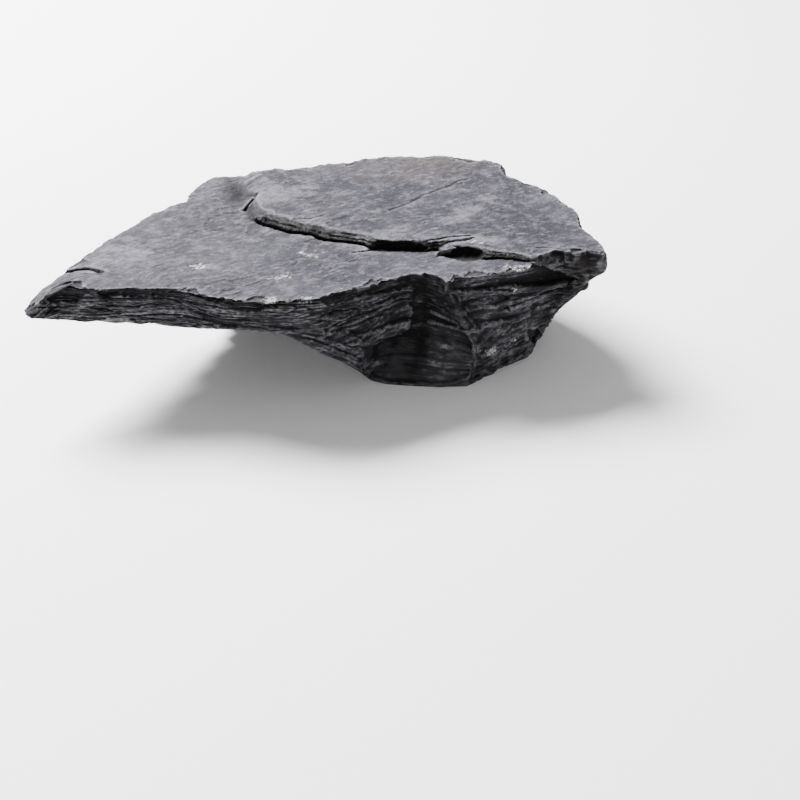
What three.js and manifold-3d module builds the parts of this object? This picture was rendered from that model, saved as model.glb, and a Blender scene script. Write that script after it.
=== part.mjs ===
// A loose slab of grey slate, broken from its bed along the cleavage. The broad top is a cleavage surface
// that carries a thinner upper sheet with a broken front edge. The left end thins out to a point that
// overhangs, and the rest stands on a flat patch of the underside. The broken sides show the sheets edge on.
//
// Millimetres, +Z up, the origin at the middle of the slab's extent on the surface it rests on.
// +X runs to the blunt right end and +Y to the back.
import * as THREE from 'three';
import { mergeVertices } from 'three/addons/utils/BufferGeometryUtils.js';
import Module from 'manifold-3d';

// Driving dimensions
const TOP = 42; // height of the main cleavage surface
const SHEET = 2.6; // thickness of the upper sheet where it is broken
const SHEET_RISE = 0.012; // the upper sheet climbs this much for each millimetre to the left
const FRONT_LEDGE = 0.9; // how far the broken edges of neighbouring beds stand out or back at the front
const BACK_LEDGE = 2.2; // and at the other sides
const BED_RUN = 17; // along the side, how far one bed keeps its place before it breaks
const EXTENT_CENTRE = [-0.23, -0.39]; // x, y of the middle of the whole slab, as the profiles below have it
const STONE_COLOUR = 0x55565c;

// One profile for each place around the slab, from the left tip along the front to the right end, then
// back along the far side. Each lists the points at the rim, shoulder, middle and foot of the broken side
// as x, y, height, and then x, y of the outline of the patch that it stands on.
const PROFILES = [
  [[-88.4, -53.4, 37.6], [-89.4, -53.4, 36.4], [-89.6, -53.2, 34.8], [-88.2, -52.4, 33.4], [-28, 14]],
  [[-84.5, -55, 40], [-85.6, -53.5, 37.7], [-85.8, -53, 35.7], [-86.3, -51.5, 32.8], [-27, 13.5]],
  [[-80.4, -47.6, 42.2], [-80.7, -47, 39], [-81.1, -46.5, 35], [-82.3, -43, 28.1], [-26, 13]],
  [[-71.3, -49, 42], [-71.7, -47.6, 39], [-71.8, -48.6, 36.4], [-73.7, -44, 27.8], [-24, 12.5]],
  [[-58.7, -50, 42], [-59, -48.4, 39], [-59.2, -49, 36.2], [-61, -44, 28.8], [-22, 12]],
  [[-49.6, -49.5, 42], [-50, -48, 38.8], [-50.2, -48, 35.4], [-51.8, -43.5, 26.9], [-20, 11.5]],
  [[-40, -51.7, 42], [-40.3, -50.2, 38.8], [-40.5, -49.7, 34.9], [-41.5, -44.7, 26.1], [-18, 11]],
  [[-30, -56.4, 42], [-30.3, -55.4, 39.5], [-30.6, -54.4, 35.7], [-31.4, -49.4, 28.1], [-15, 10]],
  [[-17.6, -59.2, 42], [-17.7, -58.2, 39.5], [-17.9, -57.2, 36], [-19, -52.2, 28.9], [-11, 7]],
  [[-8, -58.5, 42], [-8.2, -57, 39], [-8.4, -55.5, 34.2], [-9.5, -50.5, 26], [-6, 3]],
  [[0.3, -56.7, 42], [-0.4, -54.7, 37.9], [0, -53.7, 31], [0.2, -48.7, 19.3], [-1, -4]],
  [[9.2, -51.3, 42], [7.6, -48.3, 36.2], [7.7, -46.3, 26.4], [7, -43.3, 13.8], [5, -13]],
  [[19.8, -44.4, 42], [18.2, -40.4, 34.9], [13, -39.4, 18.5], [12.6, -37.4, 7.4], [12, -23]],
  [[26, -40.3, 42], [26, -34.3, 33.8], [18, -27.3, 13.6], [14.7, -32, 1.9], [15, -28]],
  [[28.8, -38.4, 42], [30.8, -29.4, 30.2], [25, -23.4, 15.3], [19.2, -32.5, 1], [20, -31]],
  [[31.9, -38, 42], [33, -27, 27.2], [31.5, -25, 14.5], [28, -33.5, 0.6], [28, -32]],
  [[35.6, -39.5, 42], [36.2, -32.5, 30], [39.5, -31, 16.5], [37.5, -35, 0.8], [37, -33.3]],
  [[38.2, -44, 42], [39.2, -41, 36.5], [48.3, -37, 15.5], [46.3, -34.5, 2.5], [45.5, -33]],
  [[43.9, -41, 42], [45.2, -36.5, 32.7], [51.5, -35.5, 19], [50, -31, 2.5], [48.5, -30]],
  [[53.9, -38, 42], [54.3, -33, 32.9], [55, -33.5, 22.5], [55, -25.5, 2], [53.5, -24.5]],
  [[62.7, -35, 42], [62.4, -29, 31.4], [61.5, -28, 21], [58.9, -21, 1.7], [58, -19]],
  [[68.6, -31, 42], [70.2, -23, 29.4], [67.6, -20, 17.3], [66, -15, 2], [64.5, -13.5]],
  [[73.2, -28, 42.5], [76.6, -19, 29.2], [70.7, -14, 12.9], [69, -10, 2], [67.5, -9]],
  [[78.6, -27.6, 42.5], [81.3, -20.6, 30], [75.4, -14.6, 17.9], [70.5, -7.6, 4.5], [69, -5]],
  [[83.9, -25, 42.5], [86, -21, 32.5], [81, -15, 22.6], [73.4, -9, 13], [70, -2.5]],
  [[88.3, -26, 42], [88.5, -22.5, 36], [84, -15, 26], [74.5, -6, 14], [71, 0]],
  [[89.5, -21, 42], [89.3, -17, 37], [83.5, -9, 25], [75.5, -2, 12], [71.5, 3]],
  [[87.2, -15.5, 42.5], [87.3, -13, 37.5], [82, -5, 24], [76, 2, 10], [72, 5]],
  [[83, -4.5, 42.5], [83.6, -4, 37], [80, 1, 22], [76, 5, 8], [72, 8]],
  [[83.4, 5, 42.5], [84, 5.2, 37], [80.5, 8, 24], [76, 11, 9], [71.5, 12]],
  [[78, 17.2, 42.5], [79, 17.6, 36], [77, 19, 22], [73, 19, 8], [69, 19]],
  [[72, 29, 42.5], [73, 29.6, 35], [71.5, 29, 20], [68, 27.5, 7], [64, 26]],
  [[63, 38.3, 42.5], [64.4, 40, 36], [62, 39, 22], [58, 36, 8], [55, 34]],
  [[59.8, 50.6, 43], [60.3, 51.8, 37], [57, 46, 22], [52, 42, 8], [49, 39]],
  [[47.4, 55, 43], [47.6, 56.2, 37], [46, 52, 23], [42, 47, 8], [40, 44]],
  [[33.3, 57, 43], [33, 58.2, 38], [32, 55, 25], [30, 50, 9], [29, 47]],
  [[17.4, 54, 43], [17, 56, 37], [16, 53, 24], [16, 48, 8], [16, 45]],
  [[3.4, 49.2, 43], [3, 51, 38], [3, 49, 26], [4, 44, 9], [5, 41]],
  [[-10.4, 44.3, 43], [-11, 46, 38], [-11, 44, 27], [-8, 39, 10], [-6, 36]],
  [[-27, 39.3, 43.5], [-27.5, 41, 38.5], [-26, 39, 29], [-21, 34, 12], [-17, 31]],
  [[-39.6, 36, 44.8], [-40, 37, 39.5], [-38, 35, 30], [-31, 29, 14], [-26, 25]],
  [[-44.3, 31.8, 43.5], [-45, 32, 39], [-42, 30, 30], [-34, 24, 14], [-30, 21]],
  [[-48, 19.7, 43], [-48.5, 20, 38], [-45, 18, 30], [-36, 15, 14], [-32, 18]],
  [[-58.7, 10, 41.5], [-59.2, 10.4, 38], [-54, 9, 30], [-43, 8, 16.5], [-32, 16.5]],
  [[-68.3, -6, 41.4], [-68.8, -5.6, 38], [-63, -5, 30.5], [-48, -3, 20], [-31, 15.5]],
  [[-75.5, -24, 41.4], [-76, -23.5, 38.4], [-71, -22, 31.5], [-57, -16, 25], [-30, 15]],
  [[-81, -36.3, 40.7], [-81.4, -36, 38], [-78, -34, 33], [-68, -27, 28], [-29, 14.5]],
  [[-87.4, -48, 38.6], [-87.5, -47.6, 36.9], [-86, -46.5, 35], [-80, -41, 31], [-28.5, 14.2]],
];
const RIGHT_END = 25; // profile at the front right corner
const BACK_RIGHT = 31;
const BACK_LEFT = 43;

// Line that the fan of the top surface, and the one of the underside, opens from
const TOP_SPINE = [new THREE.Vector2(-62, -30), new THREE.Vector2(62, 5)];
const BASE_SPINE = [new THREE.Vector2(-10, 20), new THREE.Vector2(55, 5)];

// Broken front edge of the upper sheet, from the groove at its left to the right end: x and y of its foot,
// and how far behind the foot its upper edge lies
const SHEET_FRONT = [
  [-31, 40, 3], [-31, 34, 3], [-27, 27, 3], [-23.6, 23.3, 3], [-26.5, 16.2, 4], [-25.3, 5, 3.6],
  [-18.2, -0.5, 2.4], [-8, -7.1, 1.6], [1.9, -12.1, 1], [8.1, -16.9, 1.1], [13.5, -19.6, 1.5],
  [21.2, -20.9, 2], [27.6, -20.1, 2.6], [34, -20.9, 2.9], [37.1, -24.1, 3.6], [41.8, -26.5, 4.4],
  [49.6, -28, 4.6], [57.5, -27.4, 3.6], [68.5, -28, 1],
];
const SHEET_LEFT = 10; // behind this y the edge faces left, in front of it forward
const SHEET_STEP = 0.42; // share of the sheet's height at which its edge steps back
const SHEET_BACK_FROM = 23; // profiles that the upper sheet reaches at the right and the back
const SHEET_BACK_TO = 39;
const SHEET_INSET = 0.985; // its edge lies this share of the way out to the rim there
// Thin leaves left standing on the main surface in front of that edge
const LEAVES = [
  { top: 0.9, outline: [[6.5, -22.3], [19, -22.3], [26, -21.6], [30, -20], [20, -18], [9.5, -20.3]] },
  { top: 0.8, outline: [[35, -24.4], [42, -28], [49, -29.8], [64, -30], [70, -29.5], [42, -23]] },
];

const NX = 46; // cells along the front, across the right end and down the side
const NY = 20;
const BEDS = [1, 0.6, 1.2, 0.8, 0.5, 1.1, 0.9, 1.3, 0.7, 1]; // their relative thicknesses down the side
const STEP_SHARE = 0.15; // share of a bed's height that the step to the next one takes
const TREAD_EDGES = [0, 0.2, 0.42, 0.7, 1]; // where the broad steps of the underside start and end
const RISE_SHARE = 0.12; // share of a step's rise that its tread makes

// Repeatable number from 0 to 1 for a pair of whole numbers
function chance(a, b) {
  const v = Math.sin(a * 127.1 + b * 311.7) * 43758.5453;
  return v - Math.floor(v);
}

// How far one bed's broken edge stands out, from -1 to 1: each block of it is set out or back on its own,
// and is a little askew
function blockShift(bed, along) {
  const q = along / BED_RUN + 5 * chance(bed, 0);
  const block = Math.floor(q);
  const askew = chance(bed, block + 100) - 0.5;
  return 1.6 * chance(bed, block + 50) - 0.8 + askew * (q - block - 0.5);
}

const lerp = THREE.MathUtils.lerp;
const count = PROFILES.length;
const FOOT = 3; // level of the foot of the side
const UNDERSIDE = 4; // level of the outline of the patch that the slab stands on

// Point of the undisturbed side at one profile and a level down it: 0 at the rim, 3 at the foot
function controlPoint(profile, level) {
  const place = PROFILES[profile % count];
  if (level < UNDERSIDE) return new THREE.Vector3(...place[level]);
  return new THREE.Vector3(place[UNDERSIDE][0], place[UNDERSIDE][1], -1);
}

// The same anywhere around the slab and down it
function sidePoint(around, level) {
  const i = Math.floor(around);
  const j = Math.min(Math.floor(level), UNDERSIDE - 1);
  const across = around - i;
  const upper = controlPoint(i, j).lerp(controlPoint(i + 1, j), across);
  const lower = controlPoint(i, j + 1).lerp(controlPoint(i + 1, j + 1), across);
  return upper.lerp(lower, level - j);
}

// Length of the rim up to each profile
const rimLength = [0];
for (let i = 0; i < count; i++) {
  rimLength.push(rimLength[i] + controlPoint(i, 0).distanceTo(controlPoint(i + 1, 0)));
}

// Place around the slab that is a given share of the way from one profile to a later one
function placeBetween(from, to, share) {
  const wanted = lerp(rimLength[from], rimLength[to], share);
  let i = from;
  while (i < to - 1 && rimLength[i + 1] < wanted) i++;
  return i + (wanted - rimLength[i]) / (rimLength[i + 1] - rimLength[i]);
}

function alongRim(around) {
  const i = Math.min(Math.floor(around), count - 1);
  return lerp(rimLength[i], rimLength[i + 1], around - i);
}

// Outward direction of the side, seen from above
function outward(around) {
  const before = sidePoint((around - 0.8 + count) % count, 1);
  const after = sidePoint((around + 0.8) % count, 1);
  return new THREE.Vector3(after.y - before.y, before.x - after.x, 0).normalize();
}

// Rows down the side: each bed has one at its top and one at its bottom. The underside goes in by level
// treads with risers between them, so a row there takes its place and its height from different levels.
const rows = [];
const bedSum = BEDS.reduce((sum, b) => sum + b, 0);
let reached = 0;
BEDS.forEach((thickness, bed) => {
  const height = (FOOT * thickness) / bedSum;
  const end = reached + height * (1 - STEP_SHARE);
  rows.push({ level: reached, heightLevel: reached, bed });
  rows.push({ level: end, heightLevel: end, bed });
  reached += height;
});
for (let tread = 0; tread < TREAD_EDGES.length - 1; tread++) {
  const bed = BEDS.length + tread;
  const outer = FOOT + TREAD_EDGES[tread];
  const inner = FOOT + TREAD_EDGES[tread + 1];
  rows.push({ level: outer, heightLevel: outer, bed });
  rows.push({ level: inner, heightLevel: lerp(outer, inner, RISE_SHARE), bed: bed + 1 });
}
rows.push({ level: UNDERSIDE, heightLevel: UNDERSIDE, bed: BEDS.length + TREAD_EDGES.length - 1 });

function brokenSide(around, row) {
  const point = sidePoint(around, row.level);
  point.z = sidePoint(around, row.heightLevel).z;
  const hidden = around > RIGHT_END || around < 1;
  const ledge = hidden ? BACK_LEDGE : FRONT_LEDGE;
  const strength = row.level === 0 ? 0.25 : 1;
  return point.addScaledVector(outward(around), ledge * strength * blockShift(row.bed, alongRim(around)));
}

// Rise and fall of the main cleavage surface
function swell(x, y) {
  const hump = 1.6 * Math.exp(-((x + 40) ** 2 + (y - 24) ** 2) / 130);
  const groove = -1.4 * Math.exp(-((x + 29) ** 2) / 16 - (y - 24) ** 2 / 160);
  const wave = 0.5 * Math.sin(x / 21 + 1) * Math.cos(y / 17);
  return hump + groove + wave;
}

// The body: the skin of a box of cells, moved out to the slab's form
function bodyGeometry() {
  const nz = rows.length - 1;
  const box = new THREE.BoxGeometry(NX, NY, nz, NX, NY, nz);
  box.deleteAttribute('normal');
  box.deleteAttribute('uv');
  const skin = mergeVertices(box, 0.01);
  const position = skin.getAttribute('position');
  for (let v = 0; v < position.count; v++) {
    const i = Math.round(position.getX(v) + NX / 2);
    const j = Math.round(position.getY(v) + NY / 2);
    const k = Math.round(nz / 2 - position.getZ(v));
    const margin = Math.min(i, NX - i, j, NY - j);
    const reach = 1 - margin / (NY / 2);
    const acrossX = (i - margin) / (NX - 2 * margin);
    const acrossY = (j - margin) / Math.max(NY - 2 * margin, 1);
    let around;
    let fan;
    if (j === margin) {
      around = placeBetween(0, RIGHT_END, acrossX);
      fan = acrossX;
    } else if (i === NX - margin) {
      around = placeBetween(RIGHT_END, BACK_RIGHT, acrossY);
      fan = 1;
    } else if (j === NY - margin) {
      around = placeBetween(BACK_RIGHT, BACK_LEFT, 1 - acrossX);
      fan = acrossX;
    } else {
      around = placeBetween(BACK_LEFT, count, 1 - acrossY);
      fan = 0;
    }
    const point = brokenSide(around, rows[k]);
    if (margin > 0) {
      const spine = k === 0 ? TOP_SPINE : BASE_SPINE;
      const origin = spine[0].clone().lerp(spine[1], fan);
      point.x = lerp(origin.x, point.x, reach);
      point.y = lerp(origin.y, point.y, reach);
      if (k === 0) point.z = lerp(TOP, point.z, reach ** 3) + swell(point.x, point.y) * (1 - reach ** 6);
    }
    position.setXYZ(v, point.x, point.y, point.z);
  }
  return skin;
}

// A flat sheet with the given outline, from inside the body up to a height above the main surface
function sheetGeometry(outline, top, rise) {
  const shape = new THREE.Shape(outline.map(([x, y]) => new THREE.Vector2(x, y)));
  const depth = 5;
  const geometry = new THREE.ExtrudeGeometry(shape, { depth, bevelEnabled: false });
  const position = geometry.getAttribute('position');
  for (let v = 0; v < position.count; v++) {
    const up = position.getZ(v) > depth / 2 ? top - rise * position.getX(v) : -3;
    position.setZ(v, TOP + up);
  }
  return geometry;
}

// The upper sheet's outline, set back by a share of the way from the foot of its broken front to the upper
// edge: the front, then just inside the rim around the right and the back
function sheetOutline(setback) {
  const outline = SHEET_FRONT.map(([x, y, back]) => {
    return y > SHEET_LEFT ? [x + setback * back, y] : [x, y + setback * back];
  });
  for (let i = SHEET_BACK_FROM; i < SHEET_BACK_TO; i++) {
    const [x, y] = PROFILES[i][0];
    outline.push([x * SHEET_INSET, y * SHEET_INSET]);
  }
  return outline;
}

const wasm = await Module();
wasm.setup();

function toSolid(geometry) {
  const bare = geometry.clone();
  bare.deleteAttribute('normal');
  bare.deleteAttribute('uv');
  const merged = mergeVertices(bare, 1e-4);
  const vertProperties = new Float32Array(merged.getAttribute('position').array);
  const triVerts = new Uint32Array(merged.index.array);
  return new wasm.Manifold(new wasm.Mesh({ numProp: 3, vertProperties, triVerts }));
}

function toGeometry(solid) {
  const mesh = solid.getMesh();
  const geometry = new THREE.BufferGeometry();
  geometry.setAttribute('position', new THREE.BufferAttribute(mesh.vertProperties, 3));
  geometry.setIndex(new THREE.BufferAttribute(mesh.triVerts, 1));
  geometry.computeVertexNormals();
  return geometry;
}

// Everything below the resting surface is cut away, which leaves the flat patch that the slab stands on
const ground = new THREE.BoxGeometry(400, 400, 20).translate(0, 0, -10);
let slab = toSolid(bodyGeometry());
slab = slab.add(toSolid(sheetGeometry(sheetOutline(0), SHEET_STEP * SHEET, SHEET_STEP * SHEET_RISE)));
slab = slab.add(toSolid(sheetGeometry(sheetOutline(1), SHEET, SHEET_RISE)));
for (const leaf of LEAVES) {
  slab = slab.add(toSolid(sheetGeometry(leaf.outline, leaf.top, 0)));
}
slab = slab.subtract(toSolid(ground));

const slate = new THREE.MeshStandardMaterial({ color: STONE_COLOUR, roughness: 0.72, metalness: 0 });
const mesh = new THREE.Mesh(toGeometry(slab), slate);
mesh.name = 'slate_slab';
mesh.position.set(-EXTENT_CENTRE[0], -EXTENT_CENTRE[1], 0);

const group = new THREE.Group();
group.add(mesh);
export default group;
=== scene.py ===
# Fine surface and finish of a loose slab of dark grey slate.
#
# The slab is one stone. Its skin is a lattice of small cells that takes the form of the solid first, and
# then the ledges, thin sheets, chips and cracks of broken slate. Lengths are in millimetres, in the
# profiles' own coordinates, until the mesh is made: +X to the blunt right end, +Y to the back, +Z up.
# Places around the slab are numbered as its profiles are, and levels go down the side: 0 is the rim.
import itertools
import math

import bpy
import numpy as np
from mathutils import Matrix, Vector


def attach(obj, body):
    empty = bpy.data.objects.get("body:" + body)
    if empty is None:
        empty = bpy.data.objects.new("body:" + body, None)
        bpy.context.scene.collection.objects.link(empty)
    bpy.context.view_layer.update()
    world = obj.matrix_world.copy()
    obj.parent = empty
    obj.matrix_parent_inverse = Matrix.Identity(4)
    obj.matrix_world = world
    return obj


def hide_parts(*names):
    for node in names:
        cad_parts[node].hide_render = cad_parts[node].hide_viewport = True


MM = 0.001
EXTENT_CENTRE = (-0.23, -0.39)  # x, y of the middle of the slab, as the profiles have it

# Driving dimensions of the solid
TOP = 42.0  # height of the main cleavage surface
SHEET = 2.6  # thickness of the upper sheet where it is broken
SHEET_RISE = 0.012  # the upper sheet climbs this much for each millimetre to the left

# One profile for each place around the slab, from the left tip along the front to the right end, then
# back along the far side. Each lists the points at the rim, shoulder, middle and foot of the broken side
# as x, y, height, and then x, y of the outline of the patch that it stands on.
PROFILES = [
    [[-88.4, -53.4, 37.6], [-89.4, -53.4, 36.4], [-89.6, -53.2, 34.8], [-88.2, -52.4, 33.4], [-28, 14]],
    [[-84.5, -55, 40], [-85.6, -53.5, 37.7], [-85.8, -53, 35.7], [-86.3, -51.5, 32.8], [-27, 13.5]],
    [[-80.4, -47.6, 42.2], [-80.7, -47, 39], [-81.1, -46.5, 35], [-82.3, -43, 28.1], [-26, 13]],
    [[-71.3, -49, 42], [-71.7, -47.6, 39], [-71.8, -48.6, 36.4], [-73.7, -44, 27.8], [-24, 12.5]],
    [[-58.7, -50, 42], [-59, -48.4, 39], [-59.2, -49, 36.2], [-61, -44, 28.8], [-22, 12]],
    [[-49.6, -49.5, 42], [-50, -48, 38.8], [-50.2, -48, 35.4], [-51.8, -43.5, 26.9], [-20, 11.5]],
    [[-40, -51.7, 42], [-40.3, -50.2, 38.8], [-40.5, -49.7, 34.9], [-41.5, -44.7, 26.1], [-18, 11]],
    [[-30, -56.4, 42], [-30.3, -55.4, 39.5], [-30.6, -54.4, 35.7], [-31.4, -49.4, 28.1], [-15, 10]],
    [[-17.6, -59.2, 42], [-17.7, -58.2, 39.5], [-17.9, -57.2, 36], [-19, -52.2, 28.9], [-11, 7]],
    [[-8, -58.5, 42], [-8.2, -57, 39], [-8.4, -55.5, 34.2], [-9.5, -50.5, 26], [-6, 3]],
    [[0.3, -56.7, 42], [-0.4, -54.7, 37.9], [0, -53.7, 31], [0.2, -48.7, 19.3], [-1, -4]],
    [[9.2, -51.3, 42], [7.6, -48.3, 36.2], [7.7, -46.3, 26.4], [7, -43.3, 13.8], [5, -13]],
    [[19.8, -44.4, 42], [18.2, -40.4, 34.9], [13, -39.4, 18.5], [12.6, -37.4, 7.4], [12, -23]],
    [[26, -40.3, 42], [26, -34.3, 33.8], [18, -27.3, 13.6], [14.7, -32, 1.9], [15, -28]],
    [[28.8, -38.4, 42], [30.8, -29.4, 30.2], [25, -23.4, 15.3], [19.2, -32.5, 1], [20, -31]],
    [[31.9, -38, 42], [33, -27, 27.2], [31.5, -25, 14.5], [28, -33.5, 0.6], [28, -32]],
    [[35.6, -39.5, 42], [36.2, -32.5, 30], [39.5, -31, 16.5], [37.5, -35, 0.8], [37, -33.3]],
    [[38.2, -44, 42], [39.2, -41, 36.5], [48.3, -37, 15.5], [46.3, -34.5, 2.5], [45.5, -33]],
    [[43.9, -41, 42], [45.2, -36.5, 32.7], [51.5, -35.5, 19], [50, -31, 2.5], [48.5, -30]],
    [[53.9, -38, 42], [54.3, -33, 32.9], [55, -33.5, 22.5], [55, -25.5, 2], [53.5, -24.5]],
    [[62.7, -35, 42], [62.4, -29, 31.4], [61.5, -28, 21], [58.9, -21, 1.7], [58, -19]],
    [[68.6, -31, 42], [70.2, -23, 29.4], [67.6, -20, 17.3], [66, -15, 2], [64.5, -13.5]],
    [[73.2, -28, 42.5], [76.6, -19, 29.2], [70.7, -14, 12.9], [69, -10, 2], [67.5, -9]],
    [[78.6, -27.6, 42.5], [81.3, -20.6, 30], [75.4, -14.6, 17.9], [70.5, -7.6, 4.5], [69, -5]],
    [[83.9, -25, 42.5], [86, -21, 32.5], [81, -15, 22.6], [73.4, -9, 13], [70, -2.5]],
    [[88.3, -26, 42], [88.5, -22.5, 36], [84, -15, 26], [74.5, -6, 14], [71, 0]],
    [[89.5, -21, 42], [89.3, -17, 37], [83.5, -9, 25], [75.5, -2, 12], [71.5, 3]],
    [[87.2, -15.5, 42.5], [87.3, -13, 37.5], [82, -5, 24], [76, 2, 10], [72, 5]],
    [[83, -4.5, 42.5], [83.6, -4, 37], [80, 1, 22], [76, 5, 8], [72, 8]],
    [[83.4, 5, 42.5], [84, 5.2, 37], [80.5, 8, 24], [76, 11, 9], [71.5, 12]],
    [[78, 17.2, 42.5], [79, 17.6, 36], [77, 19, 22], [73, 19, 8], [69, 19]],
    [[72, 29, 42.5], [73, 29.6, 35], [71.5, 29, 20], [68, 27.5, 7], [64, 26]],
    [[63, 38.3, 42.5], [64.4, 40, 36], [62, 39, 22], [58, 36, 8], [55, 34]],
    [[59.8, 50.6, 43], [60.3, 51.8, 37], [57, 46, 22], [52, 42, 8], [49, 39]],
    [[47.4, 55, 43], [47.6, 56.2, 37], [46, 52, 23], [42, 47, 8], [40, 44]],
    [[33.3, 57, 43], [33, 58.2, 38], [32, 55, 25], [30, 50, 9], [29, 47]],
    [[17.4, 54, 43], [17, 56, 37], [16, 53, 24], [16, 48, 8], [16, 45]],
    [[3.4, 49.2, 43], [3, 51, 38], [3, 49, 26], [4, 44, 9], [5, 41]],
    [[-10.4, 44.3, 43], [-11, 46, 38], [-11, 44, 27], [-8, 39, 10], [-6, 36]],
    [[-27, 39.3, 43.5], [-27.5, 41, 38.5], [-26, 39, 29], [-21, 34, 12], [-17, 31]],
    [[-39.6, 36, 44.8], [-40, 37, 39.5], [-38, 35, 30], [-31, 29, 14], [-26, 25]],
    [[-44.3, 31.8, 43.5], [-45, 32, 39], [-42, 30, 30], [-34, 24, 14], [-30, 21]],
    [[-48, 19.7, 43], [-48.5, 20, 38], [-45, 18, 30], [-36, 15, 14], [-32, 18]],
    [[-58.7, 10, 41.5], [-59.2, 10.4, 38], [-54, 9, 30], [-43, 8, 16.5], [-32, 16.5]],
    [[-68.3, -6, 41.4], [-68.8, -5.6, 38], [-63, -5, 30.5], [-48, -3, 20], [-31, 15.5]],
    [[-75.5, -24, 41.4], [-76, -23.5, 38.4], [-71, -22, 31.5], [-57, -16, 25], [-30, 15]],
    [[-81, -36.3, 40.7], [-81.4, -36, 38], [-78, -34, 33], [-68, -27, 28], [-29, 14.5]],
    [[-87.4, -48, 38.6], [-87.5, -47.6, 36.9], [-86, -46.5, 35], [-80, -41, 31], [-28.5, 14.2]],
]
RIGHT_END = 25  # profile at the front right corner
BACK_RIGHT = 31
BACK_LEFT = 43
FOOT = 3  # level of the foot of the side
UNDERSIDE = 4  # level of the outline of the patch that the slab stands on

# Lines that the lattice of the top surface, and of the underside, opens from
TOP_SPINE = np.array([[-62, -30], [62, 5]])
BASE_SPINE = np.array([[-10, 20], [55, 5]])

# Foot of the upper sheet's broken edge, from beyond the back rim at its left to beyond the front right
SHEET_FOOT = [
    [-30, 62], [-31, 46], [-31, 34], [-27, 27], [-23.6, 23.3], [-26.5, 16.2], [-25.3, 6], [-24, 3.4],
    [-20, 0.2], [-14.2, -5], [-8.5, -8.1], [-4.2, -9.8], [0.1, -13.2], [4, -14.3], [7.9, -15.1],
    [12.1, -16.7], [14.2, -18.6], [16.2, -20.9], [19, -21.5], [24.2, -21.5], [30.5, -21.3], [34, -20.6],
    [36.4, -19.6], [37.4, -24], [40.6, -26.2], [43.4, -28.2], [46.3, -27.8], [51.3, -27.5], [55.7, -27],
    [60.6, -29], [65.5, -31], [71.5, -30.2], [76, -31], [95, -36],
]
# How far behind the foot the upper edge lies, at places from left to right
SHEET_SETBACK = [
    [-26, 4], [-20, 2.7], [-12, 4.2], [-4, 2.8], [2, 3.4], [8, 2.9], [12, 3.7], [17, 3.6], [24, 2.8],
    [30, 3.2], [34, 1.6], [37, 1.5], [41, 4.5], [46, 6.4], [51, 3.4], [55.7, 1], [60.6, 1.7], [65.5, 1.8],
    [70, 0.6],
]
EDGE_MARGIN = 1.4  # this far in front of the broken edge and behind it still belongs to its section
# The edge in section, for each share of the way through it: share of the setback, further distance back
# (mm) and share of the height, where it is a stack of thin sheets and where it hangs over a hollow
SECTION_SHARES = np.array([0, 0.14, 0.2, 0.3, 0.37, 0.44, 0.52, 0.58, 0.65, 0.73, 0.8, 0.88, 1])
STACKED = np.array([
    [0, -EDGE_MARGIN, 0], [0, -0.2, 0], [0, 0.1, -0.22], [0, 1.1, -0.18], [0, 1.2, 0.15], [0, 0.3, 0.28],
    [0.4, 0, 0.4], [0.4, 0.5, 0.43], [0.4, 0.3, 0.62], [0.8, 0, 0.72], [0.8, 0.4, 0.76], [1, 0, 0.98],
    [1, EDGE_MARGIN, 1],
])
HOLLOW = np.array([
    [0, -EDGE_MARGIN, 0], [0, -0.2, 0], [0, 0.1, -0.4], [0.4, 0.2, -0.5], [0.7, 0.4, -0.5], [1, 0.6, -0.4],
    [1, 1.4, 0], [1, 1.8, 0.2], [1, 1.6, 0.45], [1, 0.9, 0.62], [1, 0.3, 0.75], [1, -0.1, 0.97],
    [1, EDGE_MARGIN, 1],
])
SECTION_SHEETS = np.array([0, 0, 0, 0, 0, 0, 1, 1, 1, 2, 2, 2, 2])
# Stretches where the edge hangs over a hollow
HOLLOWS = [
    [[13, -21], [20, -24], [29, -24], [32.5, -22.5], [33, -20], [28, -17], [22, -15.5], [17, -17]],
    [[37, -24.2], [40, -28], [45, -30], [49, -28.5], [51, -25], [47, -20.5], [42, -18.5], [38, -21.5]],
]
# Ramp between the two hollows, which climbs to the right up to a slanting edge, and how much of the
# sheet's height the main surface has gained in front of the edge further right
RAMP_FROM, RAMP_TO = 31.0, 37.2  # x of its foot and its edge, at the depth RAMP_PLACE
RAMP_PLACE = -24.0
RAMP_SLANT = 1.3  # they lie this much further right for each millimetre to the back
RAMP_HEIGHT = 0.85  # share of the sheet's height
FRONT_RISE = [[54, 0], [60, 0.2], [66, 0.3], [80, 0.9]]
CHIP_FROM, CHIP_TO = 4.0, 23.0  # y of the slanting facet at the upper sheet's left end
CHIP_WIDTHS = (5.0, 1.2)  # width of the facet at those two places
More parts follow.
